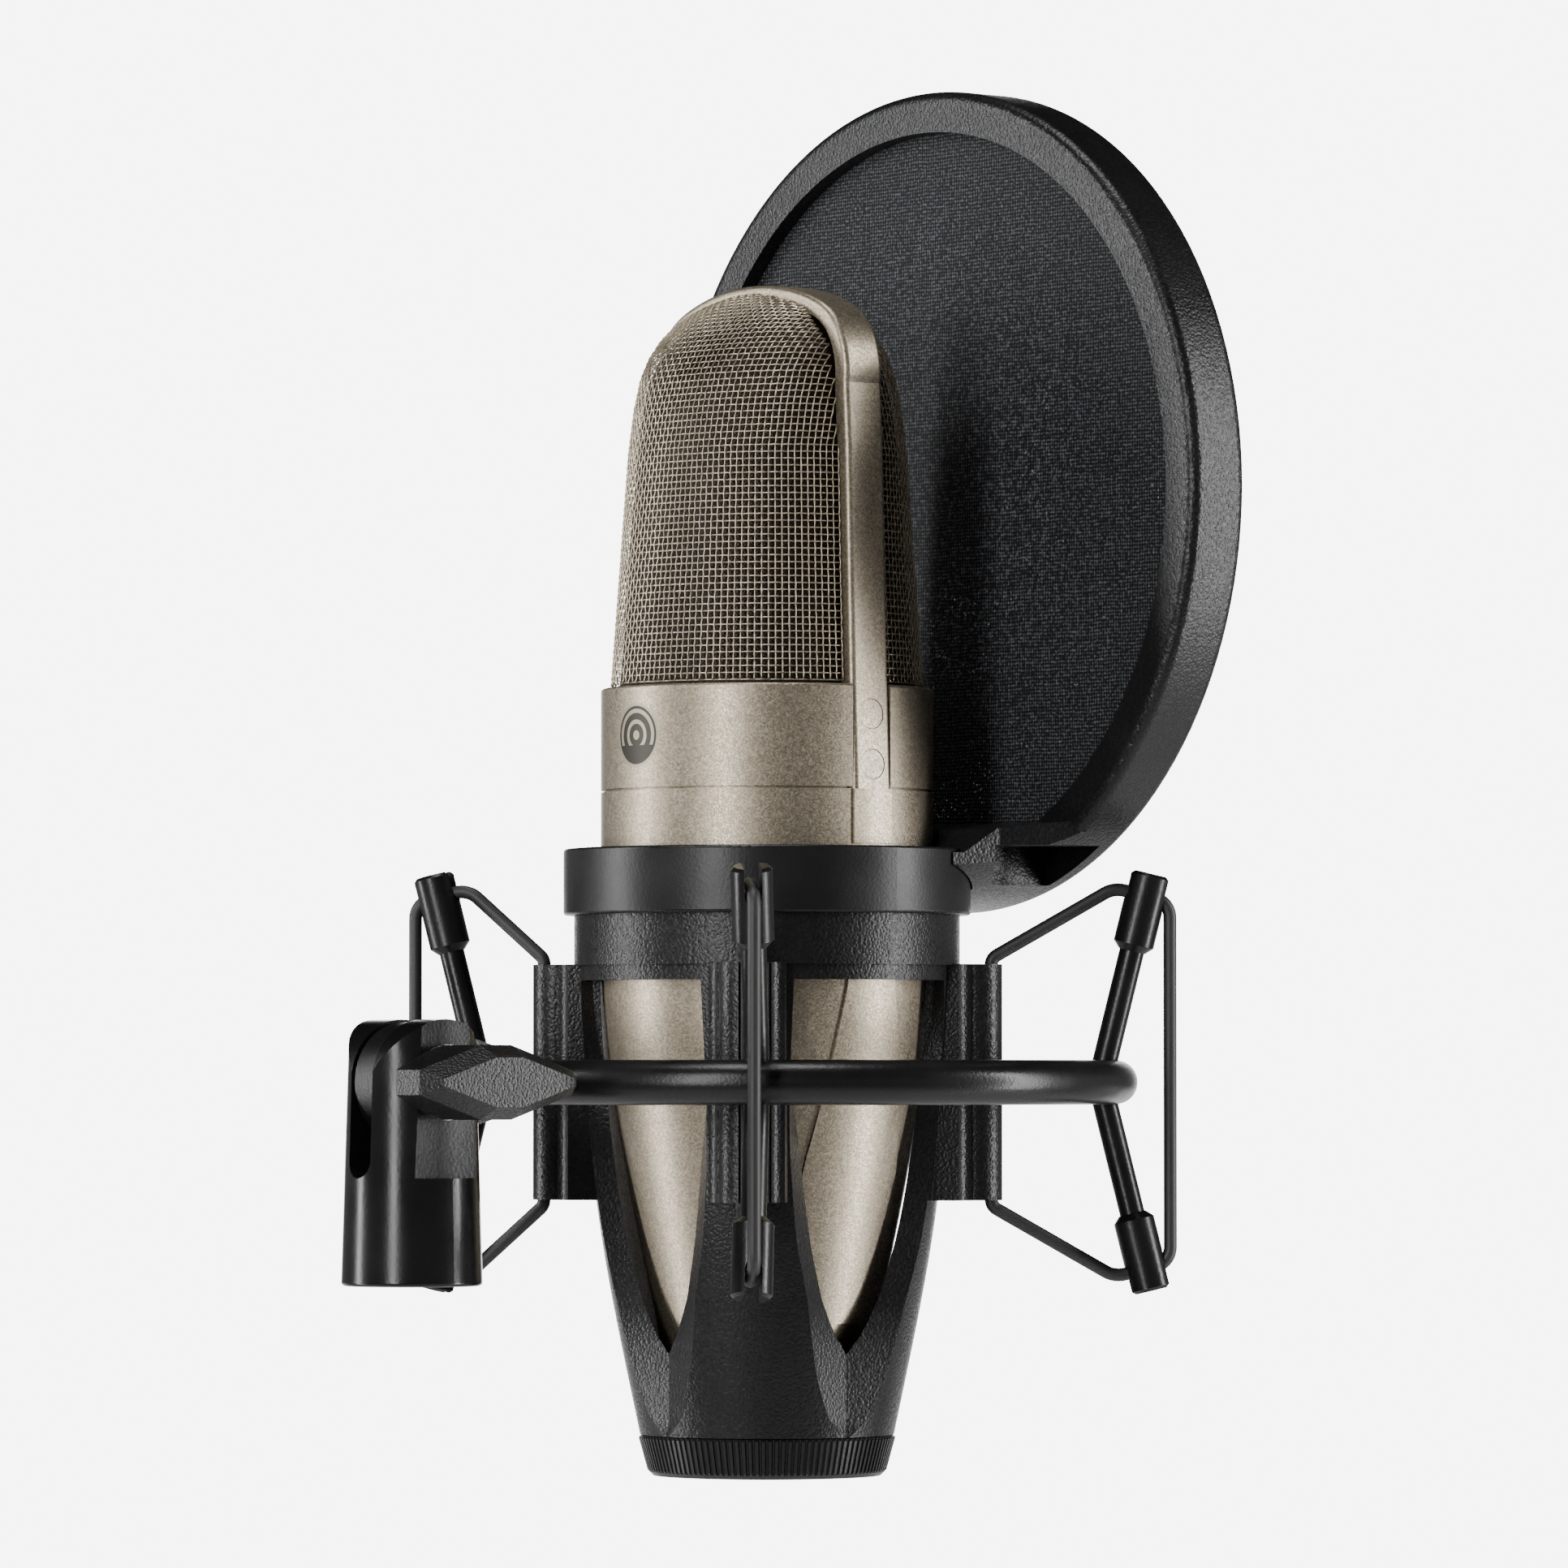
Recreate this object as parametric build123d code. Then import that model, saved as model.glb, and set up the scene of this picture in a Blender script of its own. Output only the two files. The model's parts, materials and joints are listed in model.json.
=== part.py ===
from build123d import *
import os
from math import atan2, cos, degrees, hypot, radians, sin, sqrt, tan

# Side-address studio microphone in an elastic shock mount, with a stand adapter and a round pop filter.
# Origin: centre of the stand thread's mouth. +Z up along the microphone, +Y towards the pop filter.
# All sizes are in millimetres. Heights named *_Z are measured from the suspension ring's plane.

# --- Driving dimensions ---
PIVOT_HEIGHT = 31.3          # swivel axis above the mouth of the stand thread
REACH = 70.2                 # swivel axis to microphone axis
RING_SHIFT = 4.8             # suspension ring centre beyond the microphone axis
RING_R = 51.8                # centreline of the ring tube
RING_TUBE_R = 3.5

STAND_THREAD_R = 7.94        # 5/8 inch stand thread
THREAD_LENGTH = 13.0
ADAPTER_BASE_R = STAND_THREAD_R + 2.96
ADAPTER_EAR_R = STAND_THREAD_R + 1.76
SLOT_WIDTH = 5.4
SLOT_FLOOR = 16.6
FLAT_X = 8.6
FLAT_HALF = 6.9
BOLT_R = 3.0
BOLT_FLAT_R = 5.0            # half the bolt head's width across flats
BOLT_HEAD_DEPTH = 3.4
WASHER = 0.4
WASHER_R = 8.4
THRUST_WASHER = 0.8
THRUST_WASHER_R = 5.8
SLEEVE_WALL = 1.2            # brass sleeve around the stand thread
RUN_CLEARANCE = 0.05
GAP = 0.3                    # clearance between pieces that move apart

KNOB_LENGTH = 29.0
KNOB_HEIGHT = 11.4
KNOB_END_HEIGHT = 3.8
KNOB_FACE_X = 25.0
KNOB_BEVEL = 3.6
KNOB_BUSH_R = 4.4

BAND_R = 1.05                # elastic band cord
BAND_PLAY = 0.3
POST_R = 2.0
POST_ROOT_R = RING_R - 2.4   # post axis at the ring plane
POST_LEAN = 13.8             # degrees outward
HEAD_R = 3.25
HEAD_START = 20.8
HEAD_END = 33.1
HEAD_CHAMFER = 1.1           # at the head's root
HEAD_TIP_CHAMFER = 0.5
HEAD_SLOT_DEPTH = 5.0
BAND_OUT = 3.9               # outer run of the band beyond the head axis
BAND_IN = 5.0                # inner corner of the band short of the head axis
BAND_BENDS = [1.8, 4.2, 3.2] # bend radii at the clip, inner and outer corners

MIC_R = 26.45                # body at the band
SEAM_Z = 46.0
GRILLE_BASE_Z = 62.5
HEAD_TOP_Z = 126.7
SHOULDER_Z = HEAD_TOP_Z - 8.8
STRAP_WIDTH = 7.6
STRAP_DEPTH = 2.6
GRILLE_BASE_R = MIC_R - 1.65
GRILLE_WALL = 0.9
BODY_WALL = 2.0
BODY_FOOT_R = 16.9
BAND_WALL = 3.4

CLIP_R = MIC_R + 9.3         # band channel, from microphone axis
CLIP_HALF = 18.7
CLIP_RIB_WIDTH = 7.8
CLIP_PAD_WIDTH = 12.3
CLIP_REACH = CLIP_R + 1.75

COLLAR_R = MIC_R + 5.95
COLLAR_LOW_Z = 26.5
COLLAR_TOP_Z = 37.0
LINER = 0.9
BASKET_TOP_R = MIC_R + 4.25
BASKET_STEP_Z = 18.5
BASKET_END_Z = -55.8
BODY_END_Z = BASKET_END_Z + 0.3
BASKET_WALL = 3.1
RETAINER_R = 20.4
RETAINER_END_R = 19.0
RETAINER_HEIGHT = 6.4
RETAINER_PLAY = 0.1          # below the basket's end
FLUTES = 120
FLUTE_R = 0.28
FLUTE_DEPTH = 0.36

FILTER_R = 66.4
FILTER_Z = FILTER_R + 27.3
FILTER_NEAR = MIC_R + 5.35   # near face, from microphone axis
FILTER_DEPTH = 11.2
FILTER_RIM = 6.6
FILTER_WALL = 1.6
FILTER_CHORD = FILTER_R - 14.0   # flat bottom of the opening below its centre
FABRIC = 0.3
FABRIC_RECESS = 3.0
FABRIC_TUCK = 1.3            # how far the fabric reaches under the flat of the opening
FOOT_SPREAD = 66.0           # half angle of the foot's grip on the collar
FOOT_WEB = 44.0              # between the foot's two side recesses
FOOT_WALL = 3.6              # behind each recess

CAPSULE_Z = 92.0
CAPSULE_R = 16.5
CONNECTOR_R = 8.0            # socket bore around the contact pins
CONNECTOR_MOUTH_R = 7.5      # narrower lip that guides the cable plug in
CONNECTOR_MOUTH = 5.0
CONNECTOR_DEPTH = 14.0
PIN_RECESS = 5.6             # tips of the contact pins behind the mouth

SLEEVE_R = STAND_THREAD_R + SLEEVE_WALL
BOLT_SEAT_X = -SLOT_WIDTH / 2 - 3.2
BOLT_END_X = KNOB_FACE_X - 6
KNOB_START = FLAT_X + THRUST_WASHER + 0.1
KNOB_BUSH_END = KNOB_FACE_X - 5

MIC = Location((0, REACH, PIVOT_HEIGHT))
RING = Location((0, REACH + RING_SHIFT, PIVOT_HEIGHT))
PIVOT = Location((0, 0, PIVOT_HEIGHT))
ALONG_X = Rotation(0, 90, 0)
ALONG_Y = Rotation(-90, 0, 0)


# --- Helpers ---
def save(shape, name):
    export_step(shape, f"parts/{name}.step")


def group(solids):
    return Compound(children=[solid for item in solids for solid in item.solids()])


def face_xz(*points):
    return make_face(Plane.XZ * Polyline(*points, close=True))


def turned(*points):
    """Solid of revolution about Z through (radius, height) points."""
    return revolve(face_xz(*points), Axis.Z)


def rod_x(radius, x0, x1):
    """Round bar along X from x0 to x1."""
    return Location(((x0 + x1) / 2, 0, 0)) * ALONG_X * Cylinder(radius, x1 - x0)


def rod_y(radius, y0, y1):
    """Round bar along Y from y0 to y1."""
    return Location((0, (y0 + y1) / 2, 0)) * ALONG_Y * Cylinder(radius, y1 - y0)


def rod_z(radius, z0, z1):
    """Round bar along Z from z0 to z1."""
    return Pos(0, 0, (z0 + z1) / 2) * Cylinder(radius, z1 - z0)


def block(x0, x1, y0, y1, z0, z1):
    """Box given by its two corners."""
    return Pos((x0 + x1) / 2, (y0 + y1) / 2, (z0 + z1) / 2) * Box(x1 - x0, y1 - y0, z1 - z0)


def curved_wall(points):
    """Solid of revolution inside a smooth curve through (radius, height) points, upright at its top."""
    low, high = points[0], points[-1]
    rise = (points[1][0] - low[0], points[1][1] - low[1])
    curve = Spline(*points, tangents=(rise, (0, 1)))
    closing = Polyline(high, (0, high[1]), (0, low[1]), low)
    return revolve(Plane.XZ * make_face(curve.edges() + closing.edges()), Axis.Z)


# --- Stand adapter ---
def adapter_body():
    ear_top = PIVOT_HEIGHT + ADAPTER_EAR_R
    shell = turned((0, 0), (ADAPTER_BASE_R, 0), (ADAPTER_EAR_R, ear_top), (0, ear_top))
    shell = fillet(shell.edges().sort_by(Axis.Z)[0], 0.6)
    side = block(-20, 20, -20, 20, 0, PIVOT_HEIGHT) + PIVOT * rod_x(ADAPTER_EAR_R, -20, 20)
    body = shell & side
    slot_r = SLOT_WIDTH / 2
    slot = block(-slot_r, slot_r, -20, 20, SLOT_FLOOR + slot_r, ear_top + 1)
    slot += Pos(0, 0, SLOT_FLOOR + slot_r) * rod_y(slot_r, -20, 20)
    body -= slot
    body -= block(FLAT_X, 20, -FLAT_HALF, FLAT_HALF, SLOT_FLOOR, ear_top + 1)
    body -= PIVOT * rod_x(BOLT_R + RUN_CLEARANCE, -20, 20)
    body -= PIVOT * bolt_head(BOLT_FLAT_R + 0.1, ADAPTER_BASE_R)
    body -= rod_z(SLEEVE_R, 0, THREAD_LENGTH)
    return body


def bolt_head(flat_r, depth):
    """Hexagon in the ear away from the knob, from the bolt head's seat outwards."""
    outline = RegularPolygon(flat_r, 6, major_radius=False)
    return Location((BOLT_SEAT_X, 0, 0)) * Rotation(0, -90, 0) * extrude(outline, depth)


def pivot_bolt():
    shank = rod_x(BOLT_R, BOLT_SEAT_X, BOLT_END_X)
    return shank + bolt_head(BOLT_FLAT_R, BOLT_HEAD_DEPTH)


def thread_sleeve():
    return rod_z(SLEEVE_R, 0, THREAD_LENGTH) - rod_z(STAND_THREAD_R, 0, THREAD_LENGTH)


def friction_washers():
    ring = rod_x(WASHER_R, 0, WASHER) - rod_x(BOLT_R + RUN_CLEARANCE, 0, WASHER)
    inner = SLOT_WIDTH / 2
    return group([Location((inner - WASHER, 0, 0)) * ring, Location((-inner, 0, 0)) * ring])


def thrust_washer():
    end = FLAT_X + THRUST_WASHER
    return rod_x(THRUST_WASHER_R, FLAT_X, end) - rod_x(BOLT_R + RUN_CLEARANCE, FLAT_X, end)


# --- Clamp knob ---
def facing_x(x):
    """Plane square to X whose own X runs along +Y."""
    return Plane(origin=(x, 0, 0), x_dir=(0, 1, 0), z_dir=(1, 0, 0))


def wing_knob():
    """Eight-sided wing with a bevelled face, pinched towards its round boss."""
    half, tall, tip = KNOB_LENGTH / 2, KNOB_HEIGHT / 2, KNOB_END_HEIGHT / 2
    mid = KNOB_HEIGHT / 4
    right = [(mid, -tall), (half, -tip), (half, tip), (mid, tall)]
    left = [(-y, -z) for y, z in right]
    outline = make_face(Polyline(*right, *left, close=True))
    wing_start, bevel_start = KNOB_START + 2.2, KNOB_FACE_X - KNOB_BEVEL
    wing = extrude(facing_x(wing_start) * outline, bevel_start - wing_start)
    wing += extrude(facing_x(bevel_start) * outline, KNOB_BEVEL, taper=28)
    upper = [(wing_start, 6.5), (wing_start + 4.2, half + 1), (KNOB_FACE_X + 1, half + 1)]
    lower = [(x, -y) for x, y in reversed(upper)]
    pinch = make_face(Polyline(*upper, *lower, close=True))
    wing &= Pos(0, 0, -tall - 1) * extrude(pinch, KNOB_HEIGHT + 2)
    boss = rod_x(THRUST_WASHER_R - 0.3, KNOB_START, wing_start + 1)
    knob = wing + boss
    return knob - rod_x(KNOB_BUSH_R, KNOB_START, KNOB_BUSH_END)


def knob_bush():
    sleeve = rod_x(KNOB_BUSH_R, KNOB_START, KNOB_BUSH_END)
    return sleeve - rod_x(BOLT_R + RUN_CLEARANCE, KNOB_START - 1, KNOB_BUSH_END - 0.6)


# --- Suspension ring ---
LUG_THICKNESS = SLOT_WIDTH - 2 * WASHER - 2 * RUN_CLEARANCE


def ring_tube():
    """Round tube ring in four equal bends, each notched on its inside for a post."""
    line = CenterArc((0, 0, 0), RING_R, 0, 90)
    section = Plane(origin=line @ 0, z_dir=line % 0) * Circle(RING_TUBE_R)
    bend = sweep(section, path=line) - Rotation(0, 0, 45) * post_rod()
    tube = bend
    for quarter in (90, 180, 270):
        tube += Rotation(0, 0, quarter) * bend
    return tube


def pivot_lug():
    near = RING_SHIFT + REACH - RING_R
    height = RING_TUBE_R * 0.9
    eye_r = ADAPTER_EAR_R - 0.4
    lean = atan2(eye_r - height, near)
    upper = [(eye_r * sin(lean), eye_r * cos(lean)), (near, height)]
    lower = [(y, -z) for y, z in reversed(upper)]
    arm = make_face(Polyline(*upper, *lower, close=True))
    plate = extrude(Plane.YZ * arm, LUG_THICKNESS / 2, both=True)
    plate += rod_x(eye_r, -LUG_THICKNESS / 2, LUG_THICKNESS / 2)
    plate -= rod_x(BOLT_R + RUN_CLEARANCE, -10, 10)
    return plate - Pos(0, REACH + RING_SHIFT, 0) * Torus(RING_R, RING_TUBE_R)


POST_ANGLES = (45, 135, 225, 315)    # about the ring centre, 0 is +X
HEAD_MID = HEAD_END - HEAD_SLOT_DEPTH * cos(radians(POST_LEAN)) + BAND_R + BAND_PLAY


def post_axis(height):
    """Point on the leaning post axis at a height above the ring plane."""
    return POST_ROOT_R + height * tan(radians(POST_LEAN)), height


def along_post(solid, side):
    """Stand a solid, made along +Z from the ring plane, on the upper (1) or lower (-1) leaning post."""
    leaning = Pos(POST_ROOT_R, 0, 0) * Rotation(0, POST_LEAN, 0) * solid
    return leaning if side > 0 else leaning.mirror(Plane.XY)


def post_rod():
    """Bent rod with a mitred elbow at the ring."""
    length = HEAD_START / cos(radians(POST_LEAN))
    upper = along_post(rod_z(POST_R, -POST_R, length), 1) & block(0, 80, -20, 20, 0, 60)
    return upper + upper.mirror(Plane.XY)


def band_plane(angle):
    """Clip point, direction to the post head and distance between them, from the microphone axis."""
    clip = (CLIP_R * cos(radians(angle)), CLIP_R * sin(radians(angle)))
    reach, _ = post_axis(HEAD_MID)
    head = (reach * cos(radians(angle)), reach * sin(radians(angle)) + RING_SHIFT)
    run = (head[0] - clip[0], head[1] - clip[1])
    return clip, degrees(atan2(run[1], run[0])), hypot(*run)


def band_sweep(angle, radius):
    """Closed loop from the clip channel over both heads of a post, as a round cord of a radius."""
    clip, heading, run = band_plane(angle)
    tilt = tan(radians(POST_LEAN))
    inner = (run - BAND_IN, HEAD_MID + BAND_IN * tilt)
    outer = (run + BAND_OUT, HEAD_MID - BAND_OUT * tilt)
    half = [(0, CLIP_HALF + 0.9), inner, outer]
    loop = half + [(x, -z) for x, z in reversed(half)]
    bends = BAND_BENDS + BAND_BENDS[::-1]
    path = Plane.XZ * FilletPolyline(*loop, radius=bends, close=True)
    section = Plane(origin=path @ 0, z_dir=path % 0) * Circle(radius)
    return Pos(clip[0], clip[1] - RING_SHIFT, 0) * Rotation(0, 0, heading) * sweep(section, path)


def fork_head(angle, side):
    """Forked head at the upper (1) or lower (-1) end of a post, slotted and grooved for its band."""
    start = HEAD_START / cos(radians(POST_LEAN))
    end = HEAD_END / cos(radians(POST_LEAN))
    root = [(0, start), (HEAD_R - HEAD_CHAMFER, start), (HEAD_R, start + HEAD_CHAMFER)]
    tip = [(HEAD_R, end - HEAD_TIP_CHAMFER), (HEAD_R - HEAD_TIP_CHAMFER, end), (0, end)]
    head = turned(*root, *tip)
    slot_r = BAND_R + BAND_PLAY
    slot_floor = end - HEAD_SLOT_DEPTH + slot_r
    _, heading, _ = band_plane(angle)
    slot = block(-10, 10, -slot_r, slot_r, slot_floor, end + 1)
    slot += Pos(0, 0, slot_floor) * rod_x(slot_r, -10, 10)
    head -= Rotation(0, 0, heading - angle) * slot
    return Rotation(0, 0, angle) * along_post(head, side) - band_sweep(angle, slot_r)


def elastic_band(angle):
    return band_sweep(angle, BAND_R)


# --- Cradle ---
BASKET_CURVE = [
    (RETAINER_R - 0.2, BASKET_END_Z),
    (MIC_R - 2.55, -38.0),
    (MIC_R + 0.65, -19.0),
    (MIC_R + 2.45, 0.0),
    (MIC_R + 3.35, BASKET_STEP_Z),
]
# Height, half-width of the window and half-width of its bevel at the outer surface
WINDOW = [
    (-40.8, 0.4, 8.4),
    (-34.0, 5.0, 9.9),
    (-25.0, 7.9, 12.4),
    (-12.0, 10.6, 14.4),
    (2.0, 13.2, 15.2),
    (16.1, 14.6, 15.2),
]
GROOVE = [(-57.5, 0.2), (-53, 3.8), (-47, 6.6), (-40.8, 8.4)]


def basket_radius(height, wall=0.0):
    """Outer radius of the basket at a height, less a wall."""
    points = BASKET_CURVE
    for (r0, z0), (r1, z1) in zip(points, points[1:]):
        if height <= z1 or z1 == points[-1][1]:
            return r0 + (r1 - r0) * (max(height, z0) - z0) / (z1 - z0) - wall


def basket_cavity():
    inner = [(r - BASKET_WALL, z) for r, z in BASKET_CURVE]
    cavity = curved_wall(inner)
    top_r = MIC_R + LINER
    return cavity + rod_z(top_r, BASKET_STEP_Z - 0.5, COLLAR_LOW_Z + 1)


def window_section(height, half, bevel):
    """Plan outline of the window cutter: straight inside, flared through the wall."""
    inside = sqrt(basket_radius(height, BASKET_WALL) ** 2 - half ** 2) - 0.4
    outside = sqrt(basket_radius(height) ** 2 - bevel ** 2)
    slope = (bevel - half) / (outside - inside)
    far = outside + 7
    wide = bevel + 7 * slope
    points = [(8, -half), (inside, -half), (far, -wide), (far, wide), (inside, half), (8, half)]
    return Pos(0, 0, height) * make_face(Polyline(*points, close=True))


def groove_section(height, bevel):
    """Plan outline of the shallow groove that runs out below the window's tip."""
    span = (height - GROOVE[0][0]) / (GROOVE[-1][0] - GROOVE[0][0])
    outside = sqrt(basket_radius(height) ** 2 - bevel ** 2)
    apex = basket_radius(height) - (BASKET_WALL + 0.4) * span
    slope = bevel / max(outside - apex, 0.15)
    points = [(apex, 0), (outside + 7, -bevel - 7 * slope), (outside + 7, bevel + 7 * slope)]
    return Pos(0, 0, height) * make_face(Polyline(*points, close=True))


def window_cutter():
    window = loft([window_section(*row) for row in WINDOW], ruled=True)
    groove = loft([groove_section(*row) for row in GROOVE], ruled=True)
    return window, groove


def band_clip():
    """Half-round rib on a pad with a channel for the band, open on its outer side."""
    rib_r = CLIP_RIB_WIDTH / 2
    pad_out = CLIP_REACH - rib_r - 0.6
    clip = block(MIC_R - 2.45, pad_out, -CLIP_PAD_WIDTH / 2, CLIP_PAD_WIDTH / 2, -CLIP_HALF, CLIP_HALF)
    for side in (-1, 1):
        hollow_y = side * (rib_r + 2.6)
        clip -= Pos(pad_out + 0.4, hollow_y, 0) * Cylinder(2.3, 2 * CLIP_HALF + 2)
    clip += block(pad_out - 1, CLIP_REACH - rib_r, -rib_r, rib_r, -CLIP_HALF, CLIP_HALF)
    clip += Pos(CLIP_REACH - rib_r, 0, 0) * Cylinder(rib_r, 2 * CLIP_HALF)
    channel_r = BAND_R + BAND_PLAY
    clip -= Pos(CLIP_R, 0, 0) * Cylinder(channel_r, 2 * CLIP_HALF + 2)
    return clip - block(CLIP_R, CLIP_REACH + 1, -0.45, 0.45, -CLIP_HALF - 1, CLIP_HALF + 1)


def cradle_basket():
    shell = curved_wall(BASKET_CURVE)
    shell += rod_z(BASKET_TOP_R, BASKET_STEP_Z, COLLAR_LOW_Z)
    for quarter in range(4):
        for cutter in window_cutter():
            shell -= Rotation(0, 0, 90 * quarter) * cutter
    for angle in POST_ANGLES:
        shell += Rotation(0, 0, angle) * band_clip()
    return shell - basket_cavity() - rod_z(THREAD_R + 0.1, BASKET_END_Z - 1, 0)


SCOOP_START = 12.1           # where the collar's top begins to fall, beyond the microphone axis
SCOOP_END = COLLAR_R - 7.2
SCOOP_Z = 28.6


def scoop_cutter(grow):
    """Space above the collar's lowered rear rim; grow > 0 takes more of the collar."""
    centre = Plane.YZ * Location((SCOOP_START, SCOOP_Z))
    arch = centre * Ellipse(SCOOP_END - SCOOP_START - grow, COLLAR_TOP_Z - SCOOP_Z - grow)
    kept = extrude(arch, 60, both=True) + block(-60, 60, -60, SCOOP_START, 0, 60)
    kept = kept + block(-60, 60, -60, 60, 0, SCOOP_Z - grow)
    return block(-50, 50, SCOOP_START - 1, 50, SCOOP_Z - 5, COLLAR_TOP_Z + 5) - kept


def collar():
    ring = rod_z(COLLAR_R, COLLAR_LOW_Z, COLLAR_TOP_Z)
    ring = fillet(ring.edges(), 0.5)
    ring -= rod_z(MIC_R + LINER, COLLAR_LOW_Z - 1, COLLAR_TOP_Z + 1)
    return ring - scoop_cutter(0)


def collar_liner():
    low, high = BASKET_STEP_Z, SCOOP_Z - GAP
    return rod_z(MIC_R + LINER, low, high) - rod_z(MIC_R, low - 1, high + 1)


# --- Retaining ring ---
THREAD_R = 16.6              # threaded base of the microphone


def retaining_ring():
    """Tapered nut with fine flutes cut along its slope."""
    top = BASKET_END_Z - RETAINER_PLAY
    low = top - RETAINER_HEIGHT
    rim, foot = (RETAINER_R, top - 0.4), (RETAINER_END_R, low + 0.9)
    ring = turned((0, top), (RETAINER_R - 0.4, top), rim, foot, (RETAINER_END_R - 0.9, low), (0, low))
    slope = degrees(atan2(rim[0] - foot[0], rim[1] - foot[1]))
    length = hypot(rim[0] - foot[0], rim[1] - foot[1])
    middle = Pos((rim[0] + foot[0]) / 2 + FLUTE_R - FLUTE_DEPTH, 0, (rim[1] + foot[1]) / 2)
    flute = middle * Rotation(0, slope, 0) * Cylinder(FLUTE_R, length + 0.6)
    ring -= [Rotation(0, 0, 360 * index / FLUTES) * flute for index in range(FLUTES)]
    return ring - rod_z(THREAD_R + RUN_CLEARANCE, low - 1, top + 1)


# --- Microphone shells ---
BODY_CURVE = [(BODY_FOOT_R, -41.0), (MIC_R - 5.55, -22.0), (MIC_R - 1.25, 4.0), (MIC_R, 24.0)]
PANEL_RISE = 0.35


def body_form(inset):
    curve = [(r - inset, z) for r, z in BODY_CURVE]
    low, high = BODY_CURVE[0][1], BODY_CURVE[-1][1]
    foot = rod_z(BODY_FOOT_R - inset, BODY_END_Z, low)
    return foot + curved_wall(curve) + rod_z(MIC_R - inset, high, SEAM_Z)


def lower_body():
    """Tapered sleeve with a slightly raised, widening panel under each leg of the strap."""
    body = body_form(0)
    half = STRAP_WIDTH / 2
    right = [(half, SEAM_Z), (half, 30), (half + 1.0, 15), (9.2, -11.5), (12.0, -38)]
    left = [(-y, z) for y, z in reversed(right)]
    panel = Plane.YZ * make_face(Polyline(*right, *left, close=True))
    raised = body_form(-PANEL_RISE) & extrude(panel, 60, both=True)
    clear = rod_z(MIC_R + 1, SCOOP_Z - 12, COLLAR_TOP_Z + 0.5) - rod_z(MIC_R, SCOOP_Z - 13, COLLAR_TOP_Z + 1)
    body += raised - clear
    return body - body_form(BODY_WALL) - rod_z(BASE_SPIGOT_R, BODY_END_Z - 1, BODY_END_Z + SPIGOT_HEIGHT)


BASE_SPIGOT_R = 14.6
SPIGOT_HEIGHT = 5.0


# Step from the body's radius and height, up the outer edge of the strap
STRAP_SIDE = [
    (0.15, SEAM_Z),
    (-0.5, GRILLE_BASE_Z),
    (-1.15, HEAD_TOP_Z - 41.7),
    (-1.55, HEAD_TOP_Z - 26.7),
    (-2.15, HEAD_TOP_Z - 16.7),
]
SHOULDER_X = MIC_R - 3.55


def arch(inset):
    """Outline of the strap seen along Y, inset from its outer edge, closed at the seam."""
    right = [(MIC_R + step - inset, z) for step, z in STRAP_SIDE]
    left = [(-x, z) for x, z in reversed(right)]
    shoulder = [(SHOULDER_X - 0.92 * inset, SHOULDER_Z - 0.4 * inset)]
    shoulder.append((SHOULDER_X - 2.5 - 0.72 * inset, SHOULDER_Z + 3.4 - 0.7 * inset))
    shoulder.append((SHOULDER_X - 7.3 - 0.4 * inset, SHOULDER_Z + 6.1 - 0.92 * inset))
    other_shoulder = [(-x, z) for x, z in reversed(shoulder)]
    crown = Spline(right[-1], *shoulder, (0, HEAD_TOP_Z - inset), *other_shoulder, left[0])
    legs = Polyline(*left, *right)
    return Plane.XZ * make_face(crown.edges() + legs.edges())


def strap_frame():
    frame = extrude(arch(0), STRAP_WIDTH / 2, both=True)
    faces = [edge for edge in frame.edges() if abs(abs(edge.center().Y) - STRAP_WIDTH / 2) < 0.01]
    rounded = [edge for edge in faces if edge.center().Z > SEAM_Z + 1]
    frame = fillet(rounded, 0.9)
    frame -= extrude(arch(STRAP_DEPTH), STRAP_WIDTH, both=True)
    return frame - cross_bars(PLUG_R)


PLUG_R = 2.4                 # seat of the plugs in the strap
PLUG_PLAY = 0.1              # fine groove round each plug
PLUG_SINK = 0.1
PLUG_HEIGHTS = (49.9, 57.8)
SCREW_HEAD = 0.8
SCREW_HEAD_R = 2.0
SCREW_R = 1.0
SCREW_END = 19.5             # inner end of the screws, from the microphone axis


def cross_bars(radius):
    """Two bars through the strap's legs on the axes of its plugs and screws."""
    bars = [Pos(0, 0, height) * rod_x(radius, -MIC_R - 1, MIC_R + 1) for height in PLUG_HEIGHTS]
    return bars[0] + bars[1]


def strap_layer(shape, outer, inner):
    """The part of a shape between two depths below the strap's outer edge."""
    layer = shape & extrude(arch(outer), STRAP_WIDTH / 2, both=True)
    return layer - extrude(arch(inner), STRAP_WIDTH, both=True)


def strap_plugs():
    """Round plugs over the strap's screws, two on each side."""
    return group([strap_layer(cross_bars(PLUG_R - PLUG_PLAY), PLUG_SINK, STRAP_DEPTH - SCREW_HEAD)])


def screw_shanks():
    bars = cross_bars(SCREW_R) & extrude(arch(STRAP_DEPTH), STRAP_WIDTH, both=True)
    return bars - block(-SCREW_END, SCREW_END, -5, 5, 0, 100)


def strap_screws():
    heads = strap_layer(cross_bars(SCREW_HEAD_R), STRAP_DEPTH - SCREW_HEAD, STRAP_DEPTH)
    return group([heads + screw_shanks()])


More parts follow.
